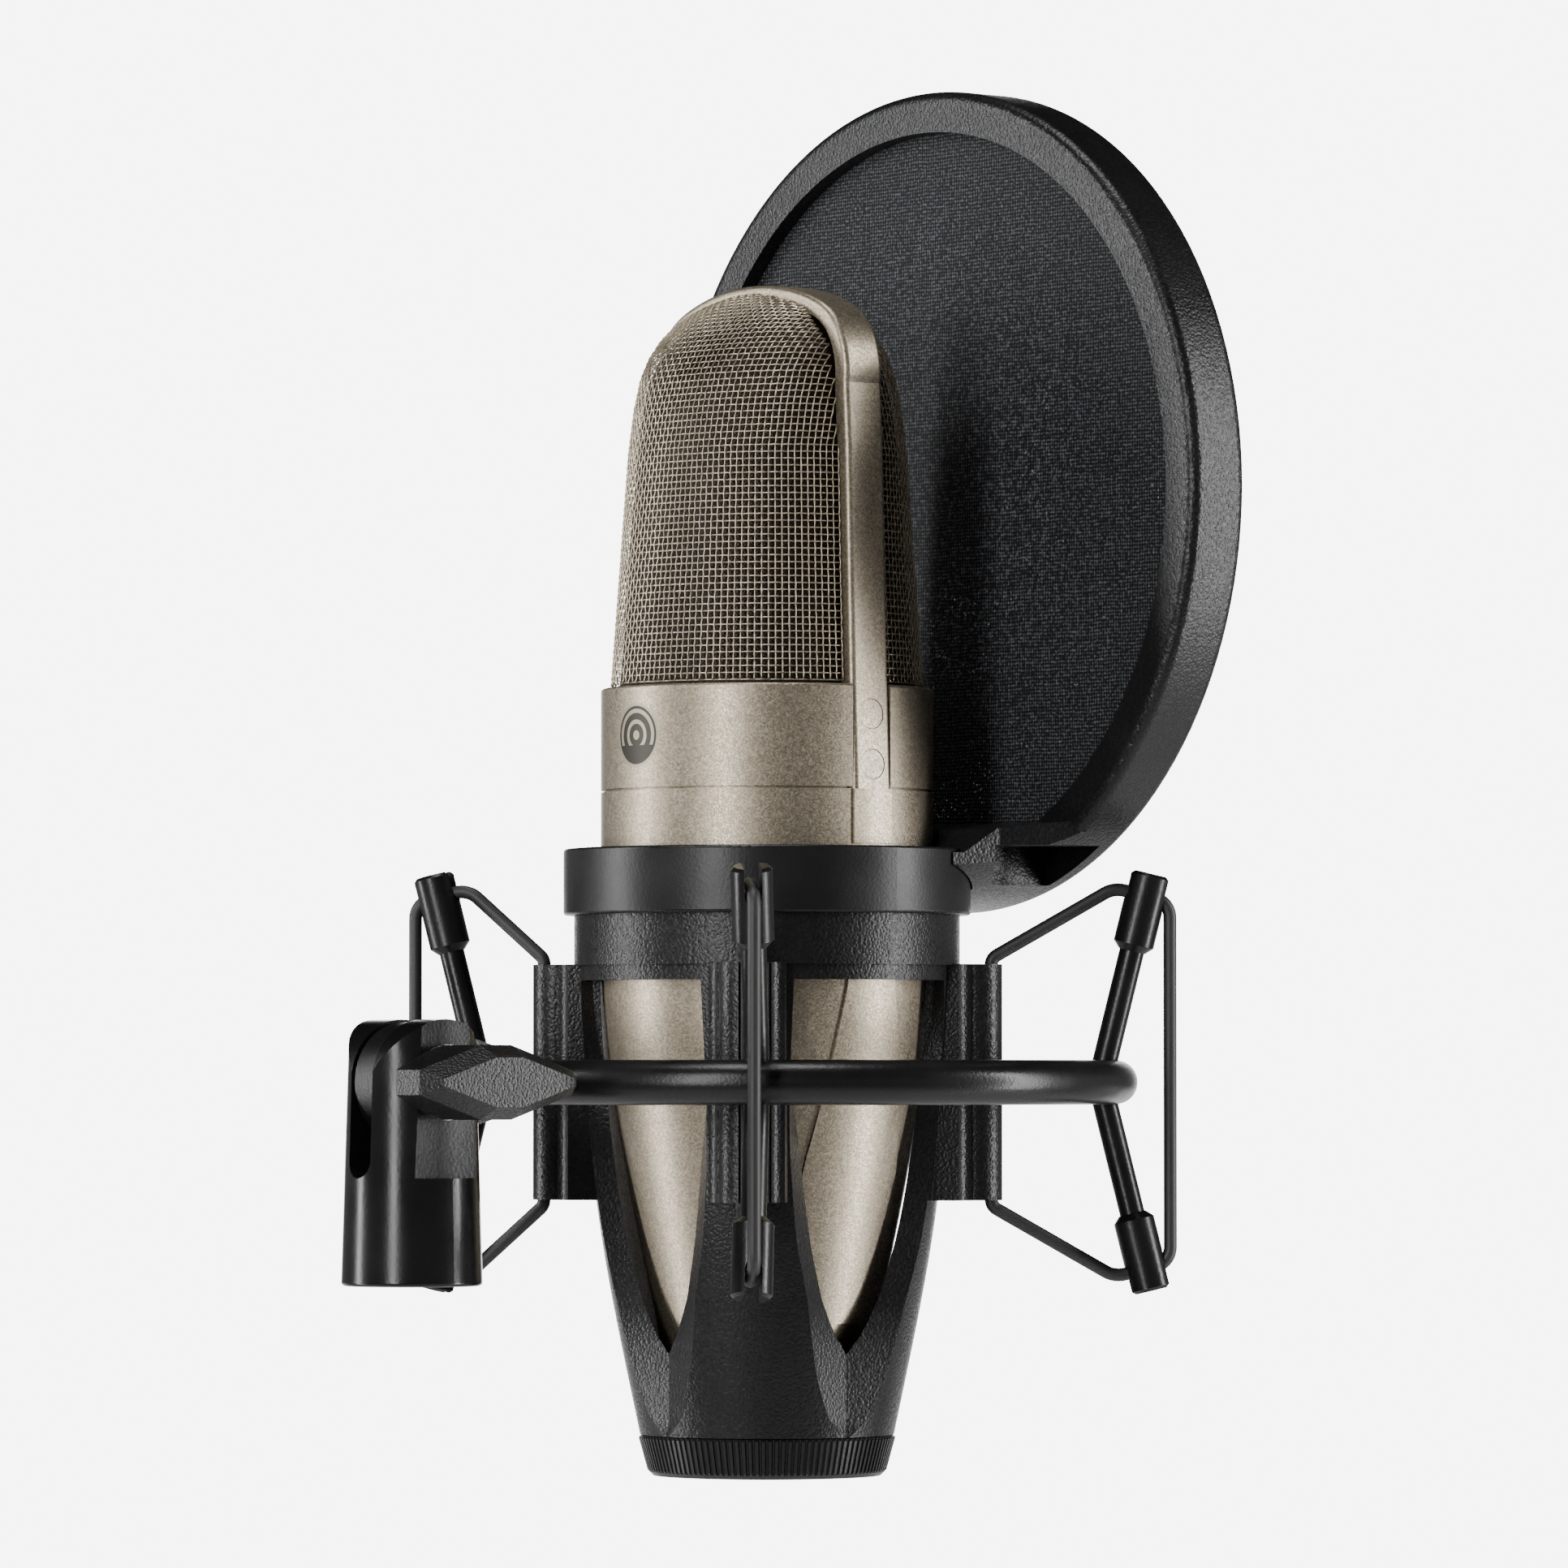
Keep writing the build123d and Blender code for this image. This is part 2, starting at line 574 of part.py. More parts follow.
def upper_band():
    band = rod_z(MIC_R, SEAM_Z + 0.35, GRILLE_BASE_Z)
    band += rod_z(MIC_R - 0.7, SEAM_Z, SEAM_Z + 0.35)
    band = fillet(band.edges().sort_by(Axis.Z)[-1], 0.5)
    band -= rod_z(MIC_R - BAND_WALL, SEAM_Z - 1, GRILLE_BASE_Z + 1)
    inside = extrude(arch(STRAP_DEPTH), STRAP_WIDTH, both=True)
    band -= block(-40, 40, -STRAP_WIDTH / 2, STRAP_WIDTH / 2, SEAM_Z - 1, GRILLE_BASE_Z + 1) - inside
    return band - badge_seat() - screw_shanks()


BADGE_R = 5.1
BADGE_Z = 54.6


def badge_seat():
    return Pos(0, 0, BADGE_Z) * rod_y(BADGE_R, -MIC_R - 1, -MIC_R + 0.8)


def badge():
    return badge_seat() & rod_z(MIC_R, SEAM_Z, GRILLE_BASE_Z)


# Height below the strap's top, and the grille's half-widths along X and Y less the body's radius
GRILLE_SECTIONS = [
    (46.7, -2.45, -3.05),
    (26.7, -3.05, -5.05),
    (19.7, -3.45, -6.25),
    (14.7, -3.95, -7.65),
    (11.2, -4.75, -9.45),
    (8.2, -6.05, -11.85),
    (6.0, -7.85, -14.25),
    (4.3, -10.25, -16.55),
    (3.0, -13.25, -18.55),
    (2.0, -17.05, -20.35),
    (1.4, -20.85, -21.85),
    (1.1, -24.95, -25.15),
]
MIN_HALF = 0.5               # of the section that closes the dome
DOME_DROP = 8.0              # below this the grille is inset sideways, above it downwards


def head_form(inset):
    """Outer form of the grille: a tapering oval tower with a domed top."""
    base = Pos(0, 0, GRILLE_BASE_Z) * Ellipse(GRILLE_BASE_R - inset, GRILLE_BASE_R + 0.2 - inset)
    sections = [base]
    for drop, along_x, along_y in GRILLE_SECTIONS:
        half = MIC_R - inset * min(1.0, drop / DOME_DROP)
        level = Pos(0, 0, HEAD_TOP_Z - drop - inset * min(1.0, DOME_DROP / drop))
        sections.append(level * Ellipse(max(half + along_x, MIN_HALF), max(half + along_y, MIN_HALF)))
    return loft(sections, ruled=True)


def grille(side):
    """One half of the outer mesh, as the thin closed skin it fills; side is -1 for front, 1 for rear."""
    skin = head_form(0) - head_form(GRILLE_WALL)
    start, far = side * STRAP_WIDTH / 2, side * 40
    return skin & block(-40, 40, min(start, far), max(start, far), GRILLE_BASE_Z, HEAD_TOP_Z)


def inner_mesh(side):
    """Fine mesh close inside the outer one."""
    skin = head_form(GRILLE_WALL + 0.5) - head_form(GRILLE_WALL + 0.9)
    start, far = side * 0.2, side * 40
    half = skin & block(-40, 40, min(start, far), max(start, far), GRILLE_BASE_Z, HEAD_TOP_Z)
    return half - extrude(arch(0) - arch(STRAP_DEPTH + 0.1), STRAP_WIDTH / 2, both=True)


# --- Inside the microphone ---
DECK_Z = GRILLE_BASE_Z - 2.4


def head_deck():
    """Plate that closes the body under the capsule."""
    plate = rod_z(MIC_R - BAND_WALL, DECK_Z, GRILLE_BASE_Z)
    plate -= Pos(0, 6, 0) * rod_z(1.6, DECK_Z - 1, GRILLE_BASE_Z + 1)
    return plate - Pos(0, -6, 0) * rod_z(1.6, DECK_Z - 1, GRILLE_BASE_Z + 1)


CAPSULE_HALF = 4.2           # half the capsule's thickness along Y
SPACER_HALF = 2.0
DIAPHRAGM_R = CAPSULE_R - 2.5


def capsule_disc(radius, y0, y1, side):
    """Disc in the capsule, y0 to y1 from its middle plane, on one side."""
    low, high = min(side * y0, side * y1), max(side * y0, side * y1)
    return Pos(0, 0, CAPSULE_Z) * rod_y(radius, low, high)


def capsule_ring(side):
    ring = capsule_disc(CAPSULE_R, SPACER_HALF, CAPSULE_HALF, side)
    return ring - capsule_disc(DIAPHRAGM_R, SPACER_HALF - 0.1, CAPSULE_HALF + 0.1, side)


def diaphragm(side):
    return capsule_disc(DIAPHRAGM_R, 3.0, 3.06, side)


def backplate(side):
    plate = capsule_disc(DIAPHRAGM_R, 0.0, 2.9, side)
    for ring_index, count in ((1, 6), (2, 12)):
        for index in range(count):
            angle = radians(360 * index / count)
            offset = Pos(4.6 * ring_index * cos(angle), 0, 4.6 * ring_index * sin(angle))
            plate -= offset * capsule_disc(0.6, 1.4, 3.0, side)
    return plate


def capsule_spacer():
    ring = rod_y(CAPSULE_R, -SPACER_HALF, SPACER_HALF)
    ring -= rod_y(DIAPHRAGM_R, -SPACER_HALF - 0.1, SPACER_HALF + 0.1)
    return Pos(0, 0, CAPSULE_Z) * ring


def capsule_saddle():
    """Curved cradle that carries the capsule on a post."""
    seat = Pos(0, 0, CAPSULE_Z) * rod_y(CAPSULE_R + 2.0, -3.0, 3.0)
    seat -= Pos(0, 0, CAPSULE_Z) * rod_y(CAPSULE_R, -3.1, 3.1)
    seat &= block(-14, 14, -3, 3, CAPSULE_Z - CAPSULE_R - 2.0, CAPSULE_Z - 9)
    post = block(-3.2, 3.2, -2.2, 2.2, ISOLATOR_TOP_Z, CAPSULE_Z - CAPSULE_R - 1.2)
    post -= Pos(0, 0, CAPSULE_Z) * rod_y(CAPSULE_R, -5, 5)
    return seat + post + rod_z(7.0, ISOLATOR_TOP_Z, ISOLATOR_TOP_Z + 1.6)


ISOLATOR_TOP_Z = GRILLE_BASE_Z + 4.5


def capsule_isolator():
    """Rubber puck between the capsule post and the deck."""
    waist = (6.8, GRILLE_BASE_Z + 2.2)
    return turned((0, GRILLE_BASE_Z), (8.4, GRILLE_BASE_Z), waist, (8.0, ISOLATOR_TOP_Z), (0, ISOLATOR_TOP_Z))


BOARD_Y = 3.0
BOARD_THICKNESS = 1.6
BOARD_LOW_Z = -34.0
BOARD_TOP_Z = 52.0


def circuit_board():
    right = [(13.0, BOARD_LOW_Z), (13.0, -14), (17.0, 0), (17.0, BOARD_TOP_Z)]
    left = [(-x, z) for x, z in reversed(right)]
    board = extrude(face_xz(*right, *left), BOARD_THICKNESS / 2, both=True)
    return Pos(0, BOARD_Y, 0) * board


def chassis_rails():
    """Two rails that carry the board between the deck and the base."""
    back = BOARD_Y + BOARD_THICKNESS / 2
    rail = block(-2.0, 2.0, back, back + 2.0, BOARD_LOW_Z, DECK_Z)
    return group([Pos(-9.0, 0, 0) * rail, Pos(9.0, 0, 0) * rail])


def components():
    """Capacitors, coupling transformer and a shielded input stage on the board's near side."""
    face = BOARD_Y - BOARD_THICKNESS / 2
    pieces = [block(-8, 8, face - 11, face, 6, 20)]
    for x, z, radius in ((-10, 30, 3.1), (-2, 30, 3.1), (6, 30, 3.1), (-6, -8, 2.5), (4, -8, 2.5)):
        pieces.append(Pos(x, face, z) * rod_y(radius, -9, 0))
    pieces.append(block(-9, 9, face - 6, face, 38, 48))
    return group(pieces)


# --- Connector ---
BASE_END_Z = BASKET_END_Z - RETAINER_HEIGHT
SOCKET_TOP_Z = BASE_END_Z + CONNECTOR_DEPTH
INSERT_THICKNESS = 3.0


def threaded_base():
    """Base of the microphone with the retaining thread and the socket bore."""
    top = SOCKET_TOP_Z + INSERT_THICKNESS
    thread = [(0, BASE_END_Z), (THREAD_R - 0.4, BASE_END_Z), (THREAD_R, BASE_END_Z + 0.4)]
    thread.append((THREAD_R, BODY_END_Z))
    spigot = [(BASE_SPIGOT_R, BODY_END_Z), (BASE_SPIGOT_R, BODY_END_Z + SPIGOT_HEIGHT)]
    base = turned(*thread, *spigot, (CONNECTOR_R + 1.6, top), (0, top))
    relief_start = BASE_END_Z + CONNECTOR_MOUTH
    base -= rod_z(CONNECTOR_MOUTH_R, BASE_END_Z - 1, relief_start + 1)
    return base - rod_z(CONNECTOR_R, relief_start, top + 0.1)


PIN_CIRCLE_R = 3.6
PIN_R = 1.2


def pin_places():
    return [Rotation(0, 0, angle) * Pos(PIN_CIRCLE_R, 0, 0) for angle in (90, 210, 330)]


def connector_insert():
    insert = rod_z(CONNECTOR_R, SOCKET_TOP_Z, SOCKET_TOP_Z + INSERT_THICKNESS)
    for place in pin_places():
        insert -= place * rod_z(PIN_R, SOCKET_TOP_Z - 1, SOCKET_TOP_Z + INSERT_THICKNESS + 1)
    return insert


def contact_pins():
    low, high = BASE_END_Z + PIN_RECESS, SOCKET_TOP_Z + 5
    pin = fillet(rod_z(PIN_R, low, high).edges().sort_by(Axis.Z)[0], 0.8)
    return group([place * pin for place in pin_places()])


# --- Pop filter ---
FILTER_FAR = FILTER_NEAR + FILTER_DEPTH
FILTER_MID = FILTER_NEAR + FILTER_DEPTH / 2
FABRIC_R = FILTER_R - FILTER_WALL - 0.2
FILTER_CENTRE = Pos(0, 0, FILTER_Z)
OPENING_R = FILTER_R - FILTER_RIM
CHORD_Z = FILTER_Z - FILTER_CHORD


def filter_disc(radius, y0, y1, chord_drop=None):
    """Disc facing Y; with chord_drop, its bottom is cut flat that far below the centre."""
    disc = FILTER_CENTRE * rod_y(radius, y0, y1)
    if chord_drop is None:
        return disc
    return disc & block(-100, 100, y0 - 1, y1 + 1, FILTER_Z - chord_drop, FILTER_Z + 100)


def foot_form():
    """Neck from the hoop to the collar, with the hoop's own arc below and a sloping top."""
    edge = radians(FOOT_SPREAD)
    tip = (COLLAR_R * sin(edge), COLLAR_R * cos(edge))
    waist = (tip[0] + 1.2, (tip[1] + FILTER_NEAR) / 2)
    chord_half = sqrt(FILTER_R ** 2 - FILTER_CHORD ** 2)
    side = [tip, waist, (chord_half - 2.5, FILTER_NEAR + 1), (chord_half - 2.5, FILTER_FAR)]
    plan = side + [(-x, y) for x, y in reversed(side)]
    neck = Pos(0, 0, 20) * extrude(make_face(Polyline(*plan, close=True)), 30)
    rear = [(0, 0), (FILTER_FAR, 0), (FILTER_FAR, CHORD_Z), (FILTER_NEAR, CHORD_Z)]
    slope = [(FILTER_NEAR - 9.8, CHORD_Z - 1.2), (tip[1] + 2.5, COLLAR_TOP_Z - 0.8), (0, COLLAR_TOP_Z - 0.8)]
    ramp = make_face(Polyline(*rear, *slope, close=True))
    neck &= extrude(Plane.YZ * ramp, 60, both=True)
    return neck & FILTER_CENTRE * rod_y(FILTER_R, 0, FILTER_FAR)


def collar_room():
    """Space that the collar and the microphone take from the foot, with a working gap."""
    collar_space = rod_z(COLLAR_R + GAP, 0, COLLAR_TOP_Z + 6) - scoop_cutter(-GAP)
    return collar_space + rod_z(MIC_R + 1.0, 0, COLLAR_TOP_Z + 20)


def foot_pockets():
    """Side recesses of the foot, open through the hoop's arc, each with a slanted near wall."""
    floor_x = FOOT_WEB / 2
    near_y, far_y = FILTER_NEAR - 3.7, FILTER_FAR - FOOT_WALL
    plan = [(floor_x, near_y), (floor_x + 60, near_y - 45.7), (floor_x + 60, far_y), (floor_x, far_y)]
    outline = Pos(0, 0, CHORD_Z - 9.9) * make_face(Polyline(*plan, close=True))
    pocket = extrude(outline, 6.1)
    return [pocket, pocket.mirror(Plane.YZ)]


def hoop(near):
    """One half of the hoop: a face ring and an outer wall; the near half carries the foot."""
    outer = filter_disc(FILTER_R, FILTER_NEAR, FILTER_FAR)
    face_edges = outer.edges().filter_by(GeomType.CIRCLE)
    outer = fillet(face_edges, 1.8)
    neck = foot_form()
    hollow_drop = FILTER_CHORD + FABRIC_TUCK + 0.2
    outer += neck & block(-60, 60, 0, FILTER_MID, 0, 60)
    outer -= filter_disc(OPENING_R, FILTER_NEAR - 1, FILTER_FAR + 1, FILTER_CHORD)
    hollow_start, hollow_end = FILTER_NEAR + FABRIC_RECESS, FILTER_FAR - FABRIC_RECESS
    outer -= filter_disc(FILTER_R - FILTER_WALL, hollow_start, hollow_end, hollow_drop)
    for pocket in foot_pockets():
        outer -= pocket
    outer -= collar_room()
    if near:
        return outer & block(-100, 100, 0, FILTER_MID, 0, 200)
    return outer & block(-100, 100, FILTER_MID, FILTER_FAR + 1, 0, 200)


def fabric_disc(near):
    start = FILTER_NEAR + FABRIC_RECESS if near else FILTER_FAR - FABRIC_RECESS - FABRIC
    return filter_disc(FABRIC_R, start, start + FABRIC, FILTER_CHORD + FABRIC_TUCK)


def fabric_spacer():
    start, end = FILTER_NEAR + FABRIC_RECESS + FABRIC, FILTER_FAR - FABRIC_RECESS - FABRIC
    ring = filter_disc(FABRIC_R, start, end, FILTER_CHORD + FABRIC_TUCK)
    return ring - filter_disc(OPENING_R + 1.0, start - 1, end + 1, FILTER_CHORD - 1.0)


# --- Write every piece in its place ---
def main():
    os.makedirs("parts", exist_ok=True)
    for name, shape in {
        "adapter_body": adapter_body(),
        "thread_sleeve": thread_sleeve(),
    }.items():
        save(shape, name)

    for name, shape in {
        "pivot_bolt": pivot_bolt(),
        "friction_washers": friction_washers(),
        "thrust_washer": thrust_washer(),
        "wing_knob": wing_knob(),
        "knob_bush": knob_bush(),
        "pivot_lug": pivot_lug(),
    }.items():
        save(PIVOT * shape, name)

    save(RING * ring_tube(), "ring_tube")
    for index, angle in enumerate(POST_ANGLES, start=1):
        save(RING * Rotation(0, 0, angle) * post_rod(), f"post_rod_{index}")
        save(RING * fork_head(angle, 1), f"fork_head_upper_{index}")
        save(RING * fork_head(angle, -1), f"fork_head_lower_{index}")
        save(RING * elastic_band(angle), f"elastic_band_{index}")

    for name, shape in {
        "cradle_basket": cradle_basket(),
        "collar": collar(),
        "collar_liner": collar_liner(),
        "retaining_ring": retaining_ring(),
        "lower_body": lower_body(),
        "upper_band": upper_band(),
        "strap_frame": strap_frame(),
        "strap_plugs": strap_plugs(),
        "strap_screws": strap_screws(),
        "badge": badge(),
        "grille_front": grille(-1),
        "grille_rear": grille(1),
        "inner_mesh_front": inner_mesh(-1),
        "inner_mesh_rear": inner_mesh(1),
        "head_deck": head_deck(),
        "capsule_ring_front": capsule_ring(-1),
        "capsule_ring_rear": capsule_ring(1),
        "diaphragm_front": diaphragm(-1),
        "diaphragm_rear": diaphragm(1),
        "backplate_front": backplate(-1),
        "backplate_rear": backplate(1),
        "capsule_spacer": capsule_spacer(),
        "capsule_saddle": capsule_saddle(),
        "capsule_isolator": capsule_isolator(),
        "circuit_board": circuit_board(),
        "chassis_rails": chassis_rails(),
        "components": components(),
        "threaded_base": threaded_base(),
        "connector_insert": connector_insert(),
        "contact_pins": contact_pins(),
        "hoop_near": hoop(True),
        "hoop_far": hoop(False),
        "fabric_near": fabric_disc(True),
        "fabric_far": fabric_disc(False),
        "fabric_spacer": fabric_spacer(),
    }.items():
        save(MIC * shape, name)


main()
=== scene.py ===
import json
import math
import bmesh
import bpy
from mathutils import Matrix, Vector
from mathutils.bvhtree import BVHTree


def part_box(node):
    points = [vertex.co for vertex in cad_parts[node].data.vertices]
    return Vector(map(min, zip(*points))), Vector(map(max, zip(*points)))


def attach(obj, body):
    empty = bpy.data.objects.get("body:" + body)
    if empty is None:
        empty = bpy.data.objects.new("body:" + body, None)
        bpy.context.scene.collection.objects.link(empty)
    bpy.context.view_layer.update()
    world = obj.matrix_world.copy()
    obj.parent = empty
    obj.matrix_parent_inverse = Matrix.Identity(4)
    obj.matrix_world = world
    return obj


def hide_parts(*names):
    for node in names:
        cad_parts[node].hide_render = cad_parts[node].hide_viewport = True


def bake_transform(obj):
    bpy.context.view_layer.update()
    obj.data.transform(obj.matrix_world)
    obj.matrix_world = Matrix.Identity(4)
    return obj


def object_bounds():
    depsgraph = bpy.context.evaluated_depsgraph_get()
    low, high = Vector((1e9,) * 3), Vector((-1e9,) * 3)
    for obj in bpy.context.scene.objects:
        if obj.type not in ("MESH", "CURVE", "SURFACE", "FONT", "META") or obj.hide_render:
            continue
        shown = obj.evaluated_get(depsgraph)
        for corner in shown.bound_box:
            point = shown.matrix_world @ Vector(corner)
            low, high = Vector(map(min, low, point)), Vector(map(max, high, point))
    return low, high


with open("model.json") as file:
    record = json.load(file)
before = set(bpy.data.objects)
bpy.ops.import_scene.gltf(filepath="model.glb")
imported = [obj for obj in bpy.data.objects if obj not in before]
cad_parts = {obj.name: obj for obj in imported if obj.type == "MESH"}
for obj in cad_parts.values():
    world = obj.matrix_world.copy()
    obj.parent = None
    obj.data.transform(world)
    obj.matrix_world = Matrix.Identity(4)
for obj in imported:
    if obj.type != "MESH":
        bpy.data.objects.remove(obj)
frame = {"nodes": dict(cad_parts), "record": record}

cad_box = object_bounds()
MM = 0.001


# --- Places taken from the frame ---
def middle(node):
    """Centre of a CAD node's box at rest."""
    low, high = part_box(node)
    return Vector([(a + b) / 2 for a, b in zip(low, high)])


ring_middle = middle("ring_tube")
body_middle = middle("retaining_ring")
axis_x, axis_y = body_middle.x, body_middle.y
ring_z = ring_middle.z
grille_base_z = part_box("grille_front")[0][2]
strap_half = (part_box("strap_frame")[1][1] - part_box("strap_frame")[0][1]) / 2
badge_middle = middle("badge")


# --- Material helpers ---
class Tree:
    """Short calls for building one material's nodes."""

    def __init__(self, name):
        self.material = bpy.data.materials.new(name)
        self.material.use_nodes = True
        self.nodes = self.material.node_tree.nodes
        self.links = self.material.node_tree.links
        self.shader = self.nodes["Principled BSDF"]
        self.place = self.nodes.new("ShaderNodeTexCoord").outputs["Object"]

    def link(self, source, target):
        self.links.new(source, target)

    def noise(self, size, detail=2.0, rough=0.5, place=None):
        """Noise whose features are about size metres across."""
        node = self.nodes.new("ShaderNodeTexNoise")
        node.inputs["Scale"].default_value = 1 / size
        node.inputs["Detail"].default_value = detail
        node.inputs["Roughness"].default_value = rough
        self.link(place or self.place, node.inputs["Vector"])
        return node.outputs["Fac"]

    def cells(self, size, feature="F1", output="Distance"):
        node = self.nodes.new("ShaderNodeTexVoronoi")
        node.feature = feature
        node.inputs["Scale"].default_value = 1 / size
        self.link(self.place, node.inputs["Vector"])
        return node.outputs[output]

    def stretch(self, scale):
        """Object coordinates scaled unevenly, for brushed or drawn surfaces."""
        node = self.nodes.new("ShaderNodeMapping")
        node.inputs["Scale"].default_value = scale
        self.link(self.place, node.inputs["Vector"])
        return node.outputs["Vector"]

    def axes(self):
        node = self.nodes.new("ShaderNodeSeparateXYZ")
        self.link(self.place, node.inputs[0])
        return node.outputs

    def math(self, operation, first, second=None, third=None):
        node = self.nodes.new("ShaderNodeMath")
        node.operation = operation
        for socket, value in zip(node.inputs, (first, second, third)):
            if value is None:
                continue
            if isinstance(value, (int, float)):
                socket.default_value = value
            else:
                self.link(value, socket)
        return node.outputs[0]

    def ramp(self, value, stops):
        """Colour ramp; stops are (position, colour) pairs."""
        node = self.nodes.new("ShaderNodeValToRGB")
        band = node.color_ramp.elements
        while len(band) < len(stops):
            band.new(0.5)
        for element, (position, colour) in zip(band, stops):
            element.position = position
            element.color = (*colour, 1)
        self.link(value, node.inputs[0])
        return node.outputs[0]

    def span(self, value, low, high, start=0.0, end=1.0):
        """Maps value from start..end to low..high, clamped."""
        node = self.nodes.new("ShaderNodeMapRange")
        for socket, number in zip(list(node.inputs)[1:5], (start, end, low, high)):
            socket.default_value = number
        self.link(value, node.inputs[0])
        return node.outputs[0]

    def bump(self, height, depth, strength=1.0, over=None):
        """Bump of the given depth in metres, on top of an earlier one."""
        node = self.nodes.new("ShaderNodeBump")
        node.inputs["Strength"].default_value = strength
        node.inputs["Distance"].default_value = depth
        self.link(height, node.inputs["Height"])
        if over is not None:
            self.link(over, node.inputs["Normal"])
        return node.outputs["Normal"]

    def set(self, **values):
        for key, value in values.items():
            socket = self.shader.inputs[key.replace("_", " ")]
            if isinstance(value, bpy.types.NodeSocket):
                self.link(value, socket)
            else:
                socket.default_value = value
        return self.material


def grey(level, warm=0.0):
    return (level * (1 + warm), level, level * (1 - warm))


# --- Materials ---
def textured_plastic():
    """Black moulding with a fine pebbled, leather-like skin."""
    t = Tree("textured_plastic")
    pebble = t.cells(0.00042, "SMOOTH_F1")
    tone = t.ramp(t.noise(0.012, 2), [(0.3, (0.003, 0.003, 0.0035)), (0.7, (0.006, 0.006, 0.0065))])
    rough = t.span(pebble, 0.26, 0.42, 0.1, 0.6)
    normal = t.bump(pebble, 0.00009, 0.9)
    return t.set(Base_Color=tone, Roughness=rough, Normal=normal, Specular_IOR_Level=0.28)


def satin_black(name, roughness, level=0.012, grain=0.00005):
    """Black paint or moulding with a faint orange peel."""
    t = Tree(name)
    peel = t.noise(0.0005, 1.0)
    wide = t.noise(0.01, 3)
    tone = t.ramp(wide, [(0.3, grey(level * 0.85)), (0.7, grey(level * 1.2))])
    rough = t.span(wide, roughness - 0.03, roughness + 0.05, 0.3, 0.7)
    return t.set(Base_Color=tone, Roughness=rough, Normal=t.bump(peel, grain, 0.5), Specular_IOR_Level=0.28)


def champagne_paint():
    """Metallic paint with fine flakes and a satin coat."""
    t = Tree("champagne_paint")
    flake = t.cells(0.00024, output="Color")
    separate = t.nodes.new("ShaderNodeSeparateColor")
    t.link(flake, separate.inputs[0])
    sparkle = separate.outputs[0]
    stops = [(0.0, (0.20, 0.165, 0.12)), (0.5, (0.27, 0.23, 0.17)), (1.0, (0.38, 0.33, 0.25))]
    tone = t.ramp(sparkle, stops)
    rough = t.span(separate.outputs[1], 0.34, 0.5)
    normal = t.bump(sparkle, 0.000012, 0.5)
    t.set(Coat_Weight=0.15, Coat_Roughness=0.3)
    return t.set(Base_Color=tone, Roughness=rough, Normal=normal, Metallic=0.9)


def drawn_wire():
    """Champagne-plated wire, a little uneven along its length."""
    t = Tree("drawn_wire")
    wear = t.noise(0.0012, 2)
    tone = t.ramp(wear, [(0.3, (0.33, 0.275, 0.20)), (0.7, (0.56, 0.485, 0.365))])
    rough = t.span(wear, 0.28, 0.42)
    return t.set(Base_Color=tone, Roughness=rough, Metallic=0.9, Normal=t.bump(wear, 0.00001, 0.4))


def fine_screen():
    """Backing screen of finer diagonal wires: the near black between the wires is painted shade of the
    hollow inside, and the bright wire lines are a painted diagonal glint.
    """
    t = Tree("fine_screen")
    x, y, z = t.axes()
    around = t.math("ARCTAN2", t.math("SUBTRACT", y, axis_y), t.math("SUBTRACT", x, axis_x))
    along = t.math("MULTIPLY", around, 0.0225)
    pitch = 2 * math.pi / 0.00062
    first = t.math("SINE", t.math("MULTIPLY", t.math("ADD", along, z), pitch))
    second = t.math("SINE", t.math("MULTIPLY", t.math("SUBTRACT", along, z), pitch))
    weave = t.math("MAXIMUM", first, second)
    # Colour: near black between the wires is painted shade of the hollow inside; the brighter wire lines are
    # a painted glint.
    tone = t.ramp(weave, [(0.7, (0.002, 0.0014, 0.001)), (0.99, (0.05, 0.036, 0.023))])
    return t.set(Base_Color=tone, Roughness=0.42, Metallic=0.75, Normal=t.bump(weave, 0.00005, 0.6))


def badge_print():
    """Round emblem of plain concentric arcs, dark on champagne."""
    t = Tree("badge_print")
    x, y, z = t.axes()
    dx = t.math("SUBTRACT", x, badge_middle.x)
    dz = t.math("SUBTRACT", z, badge_middle.z)
    radius = t.math("SQRT", t.math("ADD", t.math("MULTIPLY", dx, dx), t.math("MULTIPLY", dz, dz)))
    waves = t.math("SINE", t.math("MULTIPLY", radius, 2 * math.pi / 0.0017))
    rim = t.math("GREATER_THAN", radius, 0.0046)
    lit = t.math("MULTIPLY", t.math("GREATER_THAN", waves, 0.35), t.math("GREATER_THAN", dz, -0.0016))
    mark = t.math("MAXIMUM", rim, lit)
    grain = t.noise(0.0003, 1)
    tone = t.ramp(mark, [(0.3, (0.018, 0.015, 0.010)), (0.7, (0.24, 0.21, 0.15))])
    rough = t.span(grain, 0.35, 0.5)
    return t.set(Base_Color=tone, Roughness=rough, Metallic=0.6, Normal=t.bump(mark, 0.00004, 0.6))


def rubber(name, level):
    t = Tree(name)
    dust = t.noise(0.004, 3)
    tone = t.ramp(dust, [(0.35, grey(level)), (0.7, grey(level * 1.5))])
    rough = t.span(dust, 0.48, 0.6)
    return t.set(Base_Color=tone, Roughness=rough, Normal=t.bump(t.noise(0.0002, 1), 0.00002, 0.4))


def metal(name, colour, roughness, stretch=(900, 900, 6000)):
    """Turned or drawn bare metal with fine tool lines."""
    t = Tree(name)
    lines = t.noise(1.0, 2, place=t.stretch(stretch))
    low, high = [c * 0.82 for c in colour], [min(c * 1.1, 1) for c in colour]
    tone = t.ramp(lines, [(0.35, low), (0.65, high)])
    rough = t.span(lines, roughness - 0.05, roughness + 0.08, 0.3, 0.7)
    return t.set(Base_Color=tone, Roughness=rough, Metallic=1.0, Normal=t.bump(lines, 0.00001, 0.4))


